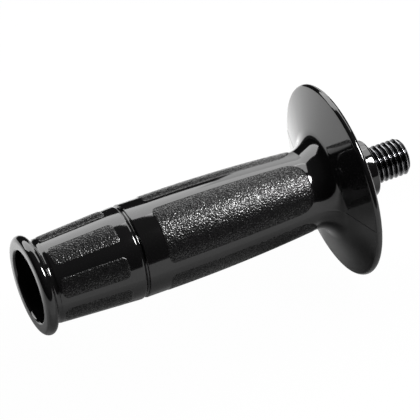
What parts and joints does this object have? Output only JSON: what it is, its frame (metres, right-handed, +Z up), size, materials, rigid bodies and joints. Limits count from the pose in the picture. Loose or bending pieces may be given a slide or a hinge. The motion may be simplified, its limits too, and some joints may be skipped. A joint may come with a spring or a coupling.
{
  "type": "power tool side handle",
  "caption": "Moulded side handle for a power tool: hollow grooved grip with raised grained panels, round hand-guard flange and a threaded stud.",
  "frame": {"origin": "on the grip's axis, in the plane of the seat ring, where the threaded stud leaves the boss", "axes": "+X along the stud, the way it screws into the tool; the grip runs back along -X; +Z up, with the mould's parting plane level at z = 0"},
  "size_m": [0.1494, 0.073, 0.073],
  "materials": {
    "grip": "glossy black moulded plastic, with fine grain on the raised panels",
    "stud": "black oxide steel"
  },
  "bodies": {
    "root": {"grip": "grip", "stud": "stud"}
  },
  "joints": []
}
